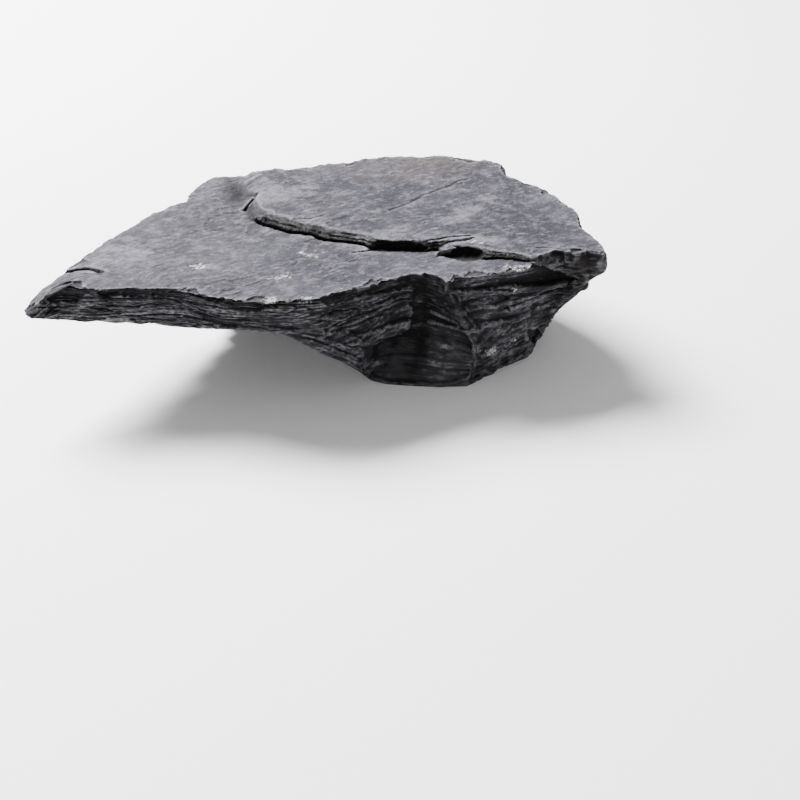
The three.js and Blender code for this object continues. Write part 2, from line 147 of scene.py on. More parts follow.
# Cracks in the top surface: depth, width and the points that each runs through
CRACKS = [
    (2.6, 1.4, [[-84, -34], [-80.2, -34.4], [-76.5, -34.2], [-73.7, -34.4], [-71.7, -35.1], [-70, -36.3],
        [-68.5, -37.8]]),
    (0.5, 0.5, [[-77, -39.5], [-74, -38.7], [-71, -39.5], [-68, -38.6]]),
    (1.2, 0.6, [[9.8, -22], [12, -21.5], [14.5, -20.9], [16.9, -20.9]]),
    (0.9, 0.6, [[29, -18.3], [34, -16.8], [38.5, -15.2], [43.7, -13.8], [47, -13.2]]),
    (1.5, 0.9, [[-27.2, 13.8], [-26.2, 17.8], [-25, 22.6]]),
    (0.5, 0.5, [[-10, -1], [-5, -1.5], [-1, 1.5]]),
    (0.5, 0.4, [[68, -22.2], [74.5, -22.8], [83, -24.4]]),
    (0.4, 1.0, [[21, 7], [24, 10], [32.2, 20.2], [40, 28], [47, 36]]),
    (0.3, 0.4, [[-43, -3.6], [-38, -4.2], [-33, -2]]),
    (0.3, 0.35, [[-34, -20], [-29, -17.5], [-25, -18]]),
    (0.35, 0.4, [[8, -30], [11, -27.5], [12, -25]]),
]

# Features of the broken front are drawn as it is seen from in front and above: x and height where the
# line of sight meets the upright plane through the front of the keel.
SIGHT_FROM = np.array([24.4, -573.5, 282.1])
SIGHT_PLANE = -36.0
# Faces left by single breaks: how far out each stands from the mean side, how much that changes for each
# millimetre to the right and up, how much of the ledges it keeps, and its outline
FACES = [
    # Left: scars of flakes just under the rim, deepest at their tops
    (-0.9, 0.03, 0.1, 0.7, [[-88, 30.8], [-86.2, 33.1], [-82, 36.5], [-73.4, 35.6], [-74.4, 33.1],
        [-76.3, 30.6]]),
    (-0.8, 0.02, 0, 0.7, [[-71, 34.2], [-66, 35.8], [-58.3, 36.6], [-52.4, 36.7], [-45.4, 35.6],
        [-39.5, 35.2], [-38, 33.4], [-44, 31.8], [-50, 33.2], [-56.8, 32.4], [-63.5, 33.6], [-68.5, 32.2]]),
    (-1.3, 0, -0.4, 0.5, [[-37, 31.6], [-35.8, 33.6], [-31.2, 33.8], [-28.8, 32.4], [-32.6, 30.3]]),
    # Middle: deep scars at its left, then splinters that climb to the notch
    (-1.1, -0.05, -0.15, 0.7, [[-31, 31], [-26, 32], [-21, 31.2], [-17.5, 29.4], [-19.8, 27.4],
        [-26, 28.4]]),
    (1.0, 0, 0, 0.8, [[-19.9, 27.9], [-17.6, 29.6], [-10.6, 30.1], [-7, 29.8], [-10.6, 27.7], [-15.9, 27]]),
    (-1.5, 0, -0.25, 0.6, [[-1.3, 32], [10.6, 34.8], [28.2, 40.6], [32.1, 40.6], [30.8, 36.5], [22, 34.9],
        [10.6, 32.3], [1.8, 29.6]]),
    (1.3, 0, 0, 1.1, [[-3.2, 24.5], [2.6, 27.5], [13.2, 30.1], [23.8, 33], [29, 34.8], [31, 33.5],
        [22, 31.1], [13.2, 28.4], [2.6, 24.8]]),
    (-0.4, 0, 0, 1.0, [[1.7, 23.8], [13.6, 26.6], [20.7, 29.6], [26.4, 31.6], [27.8, 30.3], [17.6, 26.8],
        [11.4, 24.2], [4.3, 21.6]]),
    (1.3, 0.05, 0, 1.1, [[5, 18.6], [14.9, 20.9], [20.3, 23.5], [27, 25.2], [27, 22.6], [25.6, 20.3],
        [17.6, 18.1], [13.1, 15.7], [8.2, 16.3]]),
    (0.2, -0.35, 0, 0.5, [[11.3, 14.8], [13.5, 15.9], [17.6, 16.6], [17.1, 12.6], [13.5, 7.6],
        [12.6, 9.6]]),
    (-2.4, 0.12, 0.1, 0.3, [[17.6, 17.1], [26.5, 20.4], [28.2, 18.6], [27.4, 12.6], [17.5, 7.6],
        [13.8, 7.4], [17.3, 12.1]]),
    # The strip below the middle
    (0, 0, 0, 0.25, [[-36, 21.6], [-21, 22.2], [-10.8, 20.8], [-4.6, 19.3], [2.4, 17.3], [8.6, 14.8],
        [11.3, 12.6], [12.4, 7.4], [6.8, 9.1], [2.4, 12.1], [-5.6, 15.1], [-12, 17.6], [-24, 20]]),
    # Right: the notch, the recess under the rim, and the faces of the block
    (-1.3, 0.3, 0.02, 0.35, [[28.9, 41.8], [33.6, 41.8], [33.8, 35], [33.9, 24.6], [32, 19.8], [27, 20.7],
        [28.6, 26.5]]),
    (-0.7, 0.03, 0, 0.8, [[32.6, 40.6], [38.5, 39.9], [38.8, 34.8], [41.8, 34.1], [43.5, 32.2],
        [43.1, 28.9], [45.3, 26.5], [48.3, 22.7], [46.1, 20.9], [38.7, 23.2], [32.8, 24.8]]),
    (-2.9, 0, -0.3, 0.5, [[39, 40.4], [47.5, 41], [58.6, 41.4], [67, 43], [73, 42], [80, 38.5], [76, 37.2],
        [62, 36.4], [51.8, 35.4], [39.2, 34.8]]),
    (0.5, 0, 0.1, 0.3, [[43.1, 31.5], [43.5, 32.4], [45.9, 34.1], [51.9, 35], [59.2, 35.1], [62.1, 36.2],
        [77, 38], [77, 36.2], [62.2, 34], [51.9, 33], [45.9, 31.9]]),
    (-1.3, 0, -0.35, 0.4, [[43.4, 28.9], [44, 31.3], [48.5, 32.7], [54.5, 33.1], [60.5, 33], [58, 30.6],
        [54.6, 29.4], [50.3, 29]]),
    (-0.2, 0.02, 0.1, 0.3, [[43.6, 28.4], [50.3, 28.9], [55.4, 29.3], [63.2, 29.7], [65, 27.7], [61.1, 26],
        [56.4, 25], [49.1, 23.1]]),
    (0.9, 0, 0.1, 0.7, [[48.8, 22.2], [51.2, 23.6], [56.4, 25], [61.1, 26], [65, 27.9], [66.3, 26.9],
        [61.6, 24], [56.4, 23], [51.3, 21.5]]),
    (0.4, 0, 0, 1.1, [[47.5, 20], [49.1, 22], [56.4, 23.2], [64.6, 25.6], [65, 20.8], [65.8, 16.4],
        [66.9, 14.5], [64.6, 11], [56.8, 8.6], [50.7, 5.3], [47.6, 4.2], [49.4, 7.6], [50, 11],
        [48.7, 14.5]]),
    (-0.6, 0.01, 0, 0.9, [[15.6, 4.6], [17, 14.5], [21.8, 19.8], [27, 20.5], [31.3, 24.8], [38.7, 22.9],
        [43.5, 21.4], [45.8, 20.2], [47.4, 16.9], [47.6, 14], [48.3, 11], [47.9, 7.6], [46, 4.4], [42, 2.7],
        [35.4, 1.6], [30.1, 2.2], [24.4, 2.2]]),
    (-2.0, 0, 0, 0.5, [[65, 21], [68.2, 21.7], [69.1, 19.8], [67.5, 16.6], [66, 15.9]]),
    (-1.2, 0, 0, 0.3, [[57.3, 28.6], [58.2, 30], [59.6, 29.3], [59.2, 27.9]]),
]
# Narrow ridges and gaps of the front: how far each stands out or in, its half width and its line
RIDGES = [
    (0.8, 0.6, [[-84.7, 30.3], [-78.9, 30.1], [-76.3, 30.5], [-69.6, 31.1], [-61.9, 32], [-52.7, 31.8],
        [-46.1, 30.7], [-38.5, 30.4], [-29, 29.6]]),
    (-1.0, 0.5, [[-88.6, 29.2], [-78.1, 29.2], [-68.1, 28.4], [-60.2, 26.6], [-53.1, 25.7]]),
    (-1.0, 0.5, [[-73.9, 29.4], [-63, 29.4], [-52.8, 30.1], [-42.4, 28.5], [-29.1, 27.1]]),
    (-1.0, 0.5, [[-59.9, 25.2], [-53.7, 23.2], [-44.8, 23.7], [-29.2, 22.8], [-15, 22.4]]),
    (-1.6, 0.9, [[3.4, 20.6], [11.4, 23], [17.6, 25.9], [28.5, 30.4]]),
    (0.9, 0.7, [[-35.6, 22.1], [-21, 22.6], [-10.8, 21.1], [-4.6, 19.6], [2.4, 17.6], [8.6, 15.1],
        [11.5, 12.6]]),
    (-1.1, 0.8, [[-6, 18.6], [-2.9, 17.9], [4.2, 14.9], [10.6, 11.9]]),
    (0.7, 0.5, [[-1.2, 14.9], [5.5, 12.4], [8.6, 10.6], [12.4, 9.4]]),
    (0.8, 0.6, [[11.4, 15.2], [12.2, 11.5], [12.8, 7.2]]),
    (-0.9, 0.5, [[63.2, 28.9], [70, 30.6], [74.3, 31.3], [78.6, 31.7]]),
    (0.6, 0.5, [[38.8, 34.8], [41.8, 34.1], [43.5, 32.2], [43.1, 28.9], [45.3, 26.5], [48.7, 22.7]]),
    (0.5, 0.5, [[31, 24.8], [38.7, 22.9], [43.5, 21.4], [47, 20.4]]),
    (0.6, 0.6, [[46, 20.2], [47.8, 16.9], [48, 14], [48.8, 11], [48.4, 7.6], [46.4, 4.3], [42, 2.7],
        [35.4, 1.7]]),
]
NOTCH_FROM, NOTCH_TO = 12, 18  # profiles between which the outline turns sharply
NOTCH_TENSION = 0.2
NODULE_FROM, NODULE_TO = 23.4, 28.0  # places around the slab between which the right end is a rough nodule
NODULE_BULGE = 1.7  # how far it stands out below the rim


# Repeatable numbers


def chance(*keys):
    """Number from 0 to 1 that depends only on the whole numbers given."""
    shape = np.broadcast_shapes(*(np.shape(key) for key in keys))
    mixed = np.zeros(shape, np.uint32)
    with np.errstate(over="ignore"):
        for key in keys:
            mixed = mixed ^ np.asarray(key).astype(np.int64).astype(np.uint32)
            for factor, shift in ((0x9E3779B1, 15), (0x85EBCA6B, 13)):
                mixed = mixed * np.uint32(factor)
                mixed = mixed ^ (mixed >> np.uint32(shift))
    return mixed / 2.0**32


def noise(seed, *places):
    """Smooth noise from -1 to 1 with a wavelength of about 2."""
    whole = [np.floor(place).astype(np.int64) for place in places]
    part = [place - w for place, w in zip(places, whole)]
    smooth = [p * p * (3 - 2 * p) for p in part]
    total = 0
    for corner in itertools.product((0, 1), repeat=len(places)):
        weight = 1
        for bit, s in zip(corner, smooth):
            weight = weight * (s if bit else 1 - s)
        total = total + weight * chance(seed, *(w + bit for w, bit in zip(whole, corner)))
    return 2 * total - 1


def fractal(seed, octaves, *places):
    total = 0
    for octave in range(octaves):
        total = total + 0.5**octave * noise(seed + octave, *(place * 2**octave for place in places))
    return total


def zigzag(seed, run, along, bed):
    """Broken edge of a bed seen from above, from -1 to 1: straight stretches about one run long, some of
    which end in a sharp step."""
    q = along / run + 9 * chance(seed, bed) + 0.3 * np.sin(1.7 * along / run + 6.3 * chance(seed + 1, bed))
    cell = np.floor(q)
    here = chance(seed + 2, bed, cell)
    after = chance(seed + 2, bed, cell + 1)
    stepped = chance(seed + 3, bed, cell) < 0.28
    return 2 * np.where(stepped, here + 0.2 * (q - cell), here + (after - here) * (q - cell)) - 1


def unit(value):
    return np.clip(value, 0, 1)


def step(value, width):
    """0 below 0, 1 above the width, smooth between."""
    t = unit(value / width)
    return t * t * (3 - 2 * t)


def interval(edges, value):
    """Number of the interval between two of the edges that each value falls in."""
    return np.clip(np.searchsorted(edges, value, side="right") - 1, 0, len(edges) - 2)


def hill(value, centre, reach):
    """1 at the centre, falling to 0 at the reach."""
    return unit(1 - ((value - centre) / reach) ** 2) ** 2


def between(value, low, high, soft):
    return step(value - low + soft / 2, soft) * step(high + soft / 2 - value, soft)


# The form of the side

CONTROL = np.array([[*place[:4], [*place[4], -1]] for place in PROFILES], float)
COUNT = len(PROFILES)
RUN_TO_NEXT = np.linalg.norm(np.roll(CONTROL[:, 0], -1, 0) - CONTROL[:, 0], axis=1)
RIM_LENGTH = np.concatenate([[0], np.cumsum(RUN_TO_NEXT)])
TENSION = 0.75  # 1 rounds the outline fully between the profiles, 0 leaves it straight


def tangents():
    ahead = (np.roll(CONTROL, -1, 0) - CONTROL) / RUN_TO_NEXT[:, None, None]
    behind = np.roll(ahead, 1, 0)
    run_behind = np.roll(RUN_TO_NEXT, 1)[:, None, None]
    run_ahead = RUN_TO_NEXT[:, None, None]
    return (ahead * run_behind + behind * run_ahead) / (run_ahead + run_behind)


TANGENT = tangents()


def outline_point(i, after, t, level):
    """Point of one level's outline between two profiles."""
    run = RUN_TO_NEXT[i][:, None]
    t = t[:, None]
    start, end = CONTROL[i, level], CONTROL[after, level]
    rounded = (
        (2 * t**3 - 3 * t**2 + 1) * start
        + (t**3 - 2 * t**2 + t) * run * TANGENT[i, level]
        + (3 * t**2 - 2 * t**3) * end
        + (t**3 - t**2) * run * TANGENT[after, level]
    )
    roundness = np.where((i >= NOTCH_FROM) & (i < NOTCH_TO), NOTCH_TENSION, TENSION)[:, None]
    return roundness * rounded + (1 - roundness) * (start + (end - start) * t)


def side_point(around, level):
    """Point of the undisturbed side: level 0 is the rim, 3 the foot, 4 the outline it stands on."""
    turn = np.floor(around)
    i = turn.astype(int) % COUNT
    after = (i + 1) % COUNT
    upper = np.minimum(np.floor(level), UNDERSIDE - 1).astype(int)
    f = (level - upper)[:, None]
    top = outline_point(i, after, around - turn, upper)
    foot = outline_point(i, after, around - turn, upper + 1)
    return top + (foot - top) * f


def place_between(start, end, share):
    wanted = RIM_LENGTH[start] + (RIM_LENGTH[end] - RIM_LENGTH[start]) * share
    return np.interp(wanted, RIM_LENGTH, np.arange(COUNT + 1))


def along_rim(around):
    return np.interp(around, np.arange(COUNT + 1), RIM_LENGTH)


def outward(around):
    """Outward direction of the side, seen from above."""
    level = np.ones_like(around)
    run = side_point(around + 0.8, level) - side_point(around - 0.8, level)
    direction = np.stack([run[:, 1], -run[:, 0], np.zeros(len(around))], 1)
    return direction / np.linalg.norm(direction, axis=1)[:, None]


# The broken side

BEDS = [1, 0.6, 1.2, 0.8, 0.5, 1.1, 0.9, 1.3, 0.7, 1]  # relative thicknesses down the side
BED_EDGES = np.concatenate([[0], np.cumsum(BEDS)]) * FOOT / sum(BEDS)
LEDGE_SHARE = 0.12  # share of a bed's height that the step to the next one takes
ROWS_PER_BED = 11
UNDER_ROWS = 56  # rows from the foot of the side to the patch that the slab stands on
TREAD_EDGES = np.array([0, 0.16, 0.3, 0.52, 0.66, 0.84, 1])  # broad steps of the underside
RISER_SHARE = 0.2  # share of a tread's run that its riser takes
TREAD_SLOPE = 0.15  # share of its drop that a tread makes before the riser


# Stretches of the side: first and last place around the slab, or level, and how softly they end
FRONT = (0.5, 24.5, 1.5)
MIDDLE = (6.5, 14, 2)
SCOOP, SCOOP_LEVELS = (12.4, 17.2, 1.2), (1.35, 3.3, 0.5)
BLOCK = (17, 24, 1)


def zone_strengths(around, level):
    """How strongly beds, laminae and grain stand out at each place of the side."""
    front = between(around, *FRONT)
    middle = between(around, *MIDDLE)
    scoop = between(around, *SCOOP) * between(level, *SCOOP_LEVELS)
    block = between(around, *BLOCK)
    calm = 1 - 0.9 * scoop
    tip = 0.25 + 0.75 * np.minimum(step(around, 2.5), step(COUNT - around, 2.5))
    beds = (1.8 - 1.0 * front + 0.3 * middle) * calm * tip
    crumbly = block * step(level - 1.2, 0.8)
    laminae = (0.62 - 0.06 * middle - 0.1 * block) * (1 - 0.6 * scoop) * (1 - 0.55 * crumbly) * tip
    grain = 0.13 + 0.07 * front + 0.35 * crumbly
    return beds, laminae, grain


def bed_shift(level, along):
    """How far the main beds stand out at each place, from -1 to 1."""
    bed = np.clip(np.searchsorted(BED_EDGES, level, side="right") - 1, 0, len(BEDS))
    edge = BED_EDGES[np.minimum(bed + 1, len(BEDS))]
    thickness = np.maximum(edge - BED_EDGES[np.minimum(bed, len(BEDS) - 1)], 1e-6)
    to_next = unit(1 - (edge - level) / (thickness * LEDGE_SHARE))
    to_next = np.where(bed < len(BEDS), to_next, 0)

    def shift(b):
        return 0.6 * zigzag(11, 24, along, b) + 0.4 * zigzag(21, 8, along, b)

    return shift(bed) + (shift(bed + 1) - shift(bed)) * to_next


def lamina_shift(seed, thickness, run, depth, along):
    """How far thin laminae stand out, from -1 to 1, and how near the gap between two of them is."""
    u = depth / thickness + 1.3 * noise(seed + 5, depth / (5 * thickness), along / 24)
    bed = np.floor(u)
    f = u - bed
    ledge = 0.3
    to_next = unit(1 - (1 - f) / ledge)
    here = zigzag(seed, run, along, bed)
    after = zigzag(seed, run, along, bed + 1)
    gap = hill(f, 1 - ledge / 2, ledge)
    return here + (after - here) * to_next, gap


def front_features(point, shift, relief):
    """Shift of each point of the front, taken to the single faces, ridges and gaps that show there."""
    t = (SIGHT_PLANE - SIGHT_FROM[1]) / (point[:, 1] - SIGHT_FROM[1])
    across = SIGHT_FROM[0] + (point[:, 0] - SIGHT_FROM[0]) * t
    height = SIGHT_FROM[2] + (point[:, 2] - SIGHT_FROM[2]) * t
    ragged = 0.4 * noise(181, across / 1.1, height / 0.9) + 0.45 * noise(182, across / 3.5, height / 2.5)
    for out, to_right, up, keep, outline in FACES:
        corners = np.array(outline, float)
        low, high = corners.min(0) - 1, corners.max(0) + 1
        near = np.flatnonzero((across > low[0]) & (across < high[0]) & (height > low[1]) & (height < high[1]))
        x, z = across[near], height[near]
        middle = corners.mean(0)
        face = out + to_right * (x - middle[0]) + up * (z - middle[1]) + keep * relief[near]
        share = step(inside_distance(x, z, outline) + ragged[near], 0.45)
        shift[near] += (face - shift[near]) * share
    for out, half_width, line in RIDGES:
        distance = np.abs(polyline_distance(across, height, line) + 0.7 * ragged)
        strength = 0.6 + 0.5 * noise(183, across / 3)
        shift = shift + out * strength * hill(distance, 0, half_width)
    return shift


# How ragged the rim is at places around the slab: most at the front, least at the left tip
RAGGED_PLACES = [0, 1.5, 3, 9, 12, 22.5, 24, 28, 31, 42, 44, 48]
RAGGED_STRENGTHS = [0.1, 0.2, 0.5, 0.5, 1, 1, 0.25, 0.25, 0.6, 0.5, 0.15, 0.1]


def rim_jag(around, along):
    """How far the rim stands out where its edge is broken ragged."""
    strength = np.interp(around, RAGGED_PLACES, RAGGED_STRENGTHS)
    bites = -2.2 * unit(fractal(195, 3, along / 6) - 0.1)
    return strength * (bites + 0.6 * zigzag(196, 2.4, along, 0) + 0.35 * noise(197, along / 0.7))


def rim_flake(along, distance):
    """1 where thin flakes are missing from the top along the rim, this far in from it."""
    width = 3.6 * unit(fractal(198, 3, along / 7) + 0.05) + 0.25 * noise(199, along / 0.9)
    return step(width - distance, 0.3)


def broken_side(around, level, height_level):
    """Point of the broken side, with its ledges, laminae and grain."""
    point = side_point(around, level)
    point[:, 2] = side_point(around, height_level)[:, 2]
    along = along_rim(np.clip(around, 0, COUNT))
    beds, laminae, grain = zone_strengths(around, level)
    rim = side_point(around, np.zeros_like(around))
    depth = rim[:, 2] - point[:, 2] + 0.9 * noise(31, along / 25, level / 2) + 0.03 * along
    slanted = along + 1.6 * noise(32, along / 4, depth / 1.6) + 0.6 * noise(33, along / 1.2, depth / 0.8)
    wavy = level + (0.07 * noise(34, along / 9, level * 2) + 0.02 * noise(35, along / 2)) * step(level, 0.2)
    thick, gap = lamina_shift(41, 1.9, 11, depth, slanted)
    thin, fine_gap = lamina_shift(61, 0.85, 5, depth, slanted)
    rough = fractal(71, 3, point[:, 0] / 3.2, point[:, 1] / 3.2, point[:, 2] / 1.6)
    open_gap = unit(fractal(81, 2, along / 14, depth / 3) + 0.1)
    relief = (
        beds * bed_shift(np.clip(wavy, 0, UNDERSIDE), slanted)
        + laminae * (thick + 0.45 * thin)
        + grain * rough
        - laminae * 1.3 * gap * open_gap
        - laminae * 0.35 * fine_gap
    )
    on_front = np.flatnonzero((around > 0.3) & (around < RIGHT_END - 0.5) & (level > 0.02) & (level < 3.6))
    shift = relief.copy()
    if len(on_front):
        shift[on_front] = front_features(point[on_front], shift[on_front], relief[on_front])
    lumps = between(around, NODULE_FROM, NODULE_TO - 1, 0.8) * step(1.6 - level, 0.6)
    nodule = 0.6 * fractal(191, 4, point[:, 0] / 5, point[:, 1] / 5, point[:, 2] / 1.4)
    nodule = nodule + NODULE_BULGE * hill(level, 0.75, 0.75)
    shift = shift + (nodule - shift) * lumps
    fade = 0.35 + 0.65 * step(level, 0.08)
    flat = 1 - 0.9 * step(level - 3.9, 0.1)
    shift = shift * fade * flat + rim_jag(around, along) * step(0.3 - level, 0.26)
    return point + outward(around) * shift[:, None]


def tread_height(place, along):
    """Level that gives the height at a place of the underside: it goes in by treads with risers."""
    share = place - FOOT
    wavy = share + 0.05 * noise(91, along / 11, share * 2) * hill(share, 0.5, 0.5)
    tread = interval(TREAD_EDGES, wavy)
    low, high = TREAD_EDGES[tread], TREAD_EDGES[tread + 1]
    f = (wavy - low) / (high - low)
    riser = unit((f - (1 - RISER_SHARE)) / RISER_SHARE)
    drop = TREAD_SLOPE * np.minimum(f / (1 - RISER_SHARE), 1) + (1 - TREAD_SLOPE) * riser
    return FOOT + low + (high - low) * drop


# The cleavage surface on top


def polyline_distance(x, y, points):
    """Signed distance to a line of points, positive on its left as it is followed."""
    best = np.full(x.shape, np.inf)
    signed = np.zeros(x.shape)
    for (ax, ay), (bx, by) in zip(points, points[1:]):
        run = np.hypot(bx - ax, by - ay)
        ux, uy = (bx - ax) / run, (by - ay) / run
        t = np.clip((x - ax) * ux + (y - ay) * uy, 0, run)
        dx, dy = x - ax - ux * t, y - ay - uy * t
        distance = np.hypot(dx, dy)
        side = np.where(ux * dy - uy * dx >= 0, 1.0, -1.0)
        nearer = distance < best
        best = np.where(nearer, distance, best)
        signed = np.where(nearer, side * distance, signed)
    return signed


def inside_distance(x, y, outline):
    """Signed distance to a closed outline, positive inside."""
    closed = [*outline, outline[0]]
    distance = np.abs(polyline_distance(x, y, closed))
    inside = np.zeros(x.shape, bool)
    for (ax, ay), (bx, by) in zip(closed, closed[1:]):
        crosses = (ay > y) != (by > y)
        where = ax + (y - ay) * (bx - ax) / np.where(by == ay, 1e-9, by - ay)
        inside ^= crosses & (x < where)
    return np.where(inside, distance, -distance)


HUMP_X, GROOVE_X, HUMP_Y = -40.0, -29.0, 24.0  # the groove lies between the hump and the upper sheet
HUMP_HEIGHT, GROOVE_DEPTH = 1.6, 1.4
DIP_X, DIP_Y, DIP_DEPTH = 22.4, 14.0, 0.7  # shallow dip in the middle of the upper sheet
FLAKE = 0.26  # thickness of the thin sheets missing from parts of the surface


def swell(x, y):
    """Rise and fall of the main cleavage surface."""
    hump = HUMP_HEIGHT * np.exp(-((x - HUMP_X) ** 2 + (y - HUMP_Y) ** 2) / 130)
    groove = -GROOVE_DEPTH * np.exp(-((x - GROOVE_X) ** 2) / 16 - (y - HUMP_Y) ** 2 / 160)
    wave = 0.5 * np.sin(x / 21 + 1) * np.cos(y / 17)
    return hump + groove + wave


def flakes(seed, x, y, thickness):
    """Thin sheets split off parts of the surface, whose edges run slantwise to the back right."""
    u = (0.82 * x + 0.57 * y) / 34
    v = (0.82 * y - 0.57 * x) / 17
    field = fractal(seed, 5, u, v)
    present = step(fractal(seed + 7, 2, x / 30, y / 22) - 0.05, 0.35)
    total = 0
    for threshold in (-0.35, 0.3):
        total = total + thickness * present * (step(field - threshold, 0.05) - 0.5)
    return total


def nearest_on_line(x, y, points):
    """Signed distance to a line of points, as polyline_distance, and the direction it grows in."""
    gap = 0.05
    here = polyline_distance(x, y, points)
    dx = (polyline_distance(x + gap, y, points) - polyline_distance(x - gap, y, points)) / (2 * gap)
    dy = (polyline_distance(x, y + gap, points) - polyline_distance(x, y - gap, points)) / (2 * gap)
    size = np.maximum(np.hypot(dx, dy), 0.2)
    return here, dx / size, dy / size


def edge_section(x, y, through, setback, hollow):
    """How far back and how high the broken edge runs, for each share of the way through it."""
    last = len(SECTION_SHARES) - 1
    place = interval(SECTION_SHARES, through)
    jags = [0.5 * noise(111 + n, x / 2.6, y / 4) + 0.3 * noise(115 + n, x / 0.9, y / 2) for n in range(3)]

    def section(k):
        row = STACKED[k] + (HOLLOW[k] - STACKED[k]) * hollow[:, None]
        own = np.where((k == 0) | (k == last), 0, np.choose(SECTION_SHEETS[k], jags))
        return row[:, 0] * setback + row[:, 1] + own, row[:, 2]

    start, end = SECTION_SHARES[place], SECTION_SHARES[place + 1]
    share = (through - start) / (end - start)
    (from_back, from_high), (to_back, to_high) = section(place), section(place + 1)
    return from_back + (to_back - from_back) * share, from_high + (to_high - from_high) * share


def ramp_height(x, y, edge):
    """Height of the ramp between the two hollows, as a share of the sheet's."""
    slanted = x - RAMP_SLANT * (y - RAMP_PLACE)
    climb = unit((slanted - RAMP_FROM) / (RAMP_TO - RAMP_FROM)) * step(RAMP_TO + 0.3 - slanted, 0.3)
    return RAMP_HEIGHT * climb * step(edge + 2.5, 2.5)


def lay_sheet(points):
    """Raises the upper sheet over the main surface, with a broken edge. Returns the new points, how much
    each of them belongs to the broken edge, and how much it lies in the edge's shade."""
    x, y = points[:, 0], points[:, 1]
    jag = 0.25 * noise(101, x / 1.2, y / 1.2) + 0.4 * noise(102, x / 3.5, y / 5)
    edge, dx, dy = nearest_on_line(x, y, SHEET_FOOT)
    setback = np.interp(x, *np.array(SHEET_SETBACK).T)
    slant = between(y, CHIP_FROM, CHIP_TO, 3)
    merged = step(y - CHIP_TO + 1, 5)
    sharp = (1 - slant) * (1 - merged)
    hollow = np.max([step(inside_distance(x, y, outline) + 1, 2) for outline in HOLLOWS], 0)
    through = unit((edge + jag * sharp + EDGE_MARGIN) / (2 * EDGE_MARGIN + setback))

    # The broken edge, with the ramp and the rise of the main surface in front of it
    back, high = edge_section(x, y, through, setback, hollow)
    moved = np.where((through > 0) & (through < 1), (back - edge) * sharp, 0)
    ramp = ramp_height(x, y, edge)
    front = np.maximum(ramp, np.interp(x, *np.array(FRONT_RISE).T) * step(edge + 6, 6))
    high = front + (1 - front) * high

    # The slanting facet at the left end, and behind it the stretch where the sheet rises softly
    soft = 4 + 7 * merged
    facet = unit(edge / np.interp(y, [CHIP_FROM, CHIP_TO], CHIP_WIDTHS))
    eased = facet * (1 - merged) + step(edge + 3 * merged, soft) * merged
    high = high * sharp + eased * (1 - sharp)
    result = points.copy()
    result[:, 0] += dx * moved
    result[:, 1] += dy * moved
    result[:, 2] += high * (SHEET - SHEET_RISE * x)

    # The look of the edge: broken stone, with painted shade in its hollows and in patches over its face
    open_edge = sharp * (1 - step(ramp - 0.2, 0.2))
    rough = between(through, 0.13 - 0.12 * hollow, 0.93, 0.06) * open_edge
    rough = rough + 0.75 * slant * between(facet, 0.05, 0.95, 0.1)
    patchy = 0.62 + 0.5 * fractal(118, 3, x / 2.4, y / 3)
    # Painted shade where the sheet hangs over the hollows, and in patches over the edge's face
    deep = between(through, 0.17 - 0.1 * hollow, 0.5, 0.08) * (1 - 0.4 * hollow)
    dim = unit(patchy + 0.5 * hollow) * between(through, 0.3, 0.9, 0.1)
    return result, rough, np.maximum(deep, dim) * open_edge


def surface_cracks(x, y):
    """Depth of the cracks at each place, below 0."""
    total = np.zeros(x.shape)
    for number, (depth, width, points) in enumerate(CRACKS):
        distance = np.abs(polyline_distance(x, y, points) + 0.5 * noise(121 + number, x / 3, y / 3))
        total -= depth * hill(distance, 0, width)
    return total


def top_detail(x, y):
    """Fine relief of the cleavage surfaces."""
    dip = -DIP_DEPTH * np.exp(-((x - DIP_X) ** 2 / 30 + (y - DIP_Y) ** 2 / 60))
    roll = 0.28 * fractal(131, 2, x / 17, y / 11)
    ripple = 0.09 * fractal(135, 3, (x + y) / 7, (y - x) / 3.2)
    pits = -0.35 * unit(fractal(141, 2, x / 2, y / 2) - 0.9)
    return dip + roll + ripple + pits + flakes(151, x, y, FLAKE)


# Chips broken off the rim

CHIP_FREE = 4.0  # millimetres of the rim on both sides of the left tip that have no chips


def rim_chips():
    """Where each chip sits along the rim, its half width, depth and slant."""
    chips = []
    along = CHIP_FREE
    number = 0
    while along < RIM_LENGTH[-1] - CHIP_FREE:
        dice = [float(chance(161 + n, number)) for n in range(5)]
        width = 0.8 + 3.4 * dice[0] ** 2
        depth = 0.12 + 0.16 * width * (0.4 + dice[1])
        chips.append((along, width, depth, math.radians(12 + 55 * dice[2])))
        along += width * (0.9 + 1.6 * dice[3])
        number += 1
    return chips


def chip_rim(points, along, near_rim):
    """Cuts the points that stand over each chip's slanting face back to that face."""
    for centre, width, depth, slant in rim_chips():
        chosen = np.flatnonzero((np.abs(along - centre) < width) & near_rim)
        around = np.interp([centre], RIM_LENGTH, np.arange(COUNT + 1))
        if len(chosen) == 0 or NODULE_FROM < around[0] < NODULE_TO:
            continue
        face = outward(around)[0] * math.cos(slant) + np.array([0, 0, math.sin(slant)])
        p = points[chosen]
        t = (along[chosen] - centre) / width
        reach = np.max(p @ face) - depth * (1 - t * t)
        over = np.maximum(p @ face - reach, 0)
        points[chosen] = p - np.minimum(over, 2.5 * depth)[:, None] * face
    return points


# The lattice

CELLS_X = 460
CELLS_Y = 230
RIM_FLAKE = 0.5  # thickness of the flakes missing along the rim
CHIP_LEVEL, CHIP_REACH = 1.2, 0.75  # chips take from the side down to this level, and the top from this reach
